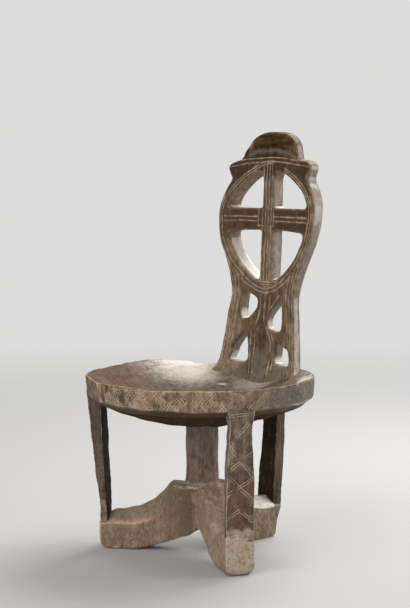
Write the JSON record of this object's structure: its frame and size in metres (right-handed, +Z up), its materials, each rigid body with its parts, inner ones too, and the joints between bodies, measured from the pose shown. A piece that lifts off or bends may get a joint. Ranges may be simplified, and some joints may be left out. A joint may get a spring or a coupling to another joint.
{
  "type": "ethiopian chair",
  "caption": "Low carved wooden chair with a round dished seat on a post and bent legs over a spread base, and a pierced back with a cross in an oval.",
  "frame": {"origin": "on the floor, below the middle of the bounding box", "axes": "+Z up, the chair faces -Y, +X to the right of a person who stands in front of it and looks at it"},
  "size_m": [0.396, 0.4102, 0.738],
  "materials": {
    "seat_wood": "dry grey-brown wood, polished dull by use",
    "rim_wood": "ochre-brown wood with worn edges and pale incised lines",
    "post_wood": "dark matt wood with traces of red earth",
    "base_wood": "dusty hewn wood, matt",
    "leg_wood": "dark wood with a pale incised lattice",
    "back_wood": "dark brown handled wood with pale incised lines, satin",
    "crest_wood": "warm brown wood, rubbed glossy by hands"
  },
  "bodies": {
    "root": {"seat_dish": "seat_wood", "seat_rim": "rim_wood", "center_post": "post_wood", "base_hub": "base_wood", "front_left_foot": "base_wood", "front_right_foot": "base_wood", "rear_foot": "base_wood", "front_left_leg": "leg_wood", "front_right_leg": "leg_wood", "rear_leg": "leg_wood", "back_sill": "back_wood", "back_left_stile": "back_wood", "back_right_stile": "back_wood", "back_splat": "back_wood", "back_left_bridge": "back_wood", "back_right_bridge": "back_wood", "oval_frame": "back_wood", "cross_upright": "back_wood", "cross_left_arm": "back_wood", "cross_right_arm": "back_wood", "back_yoke": "back_wood", "back_crest": "crest_wood"}
  },
  "joints": []
}
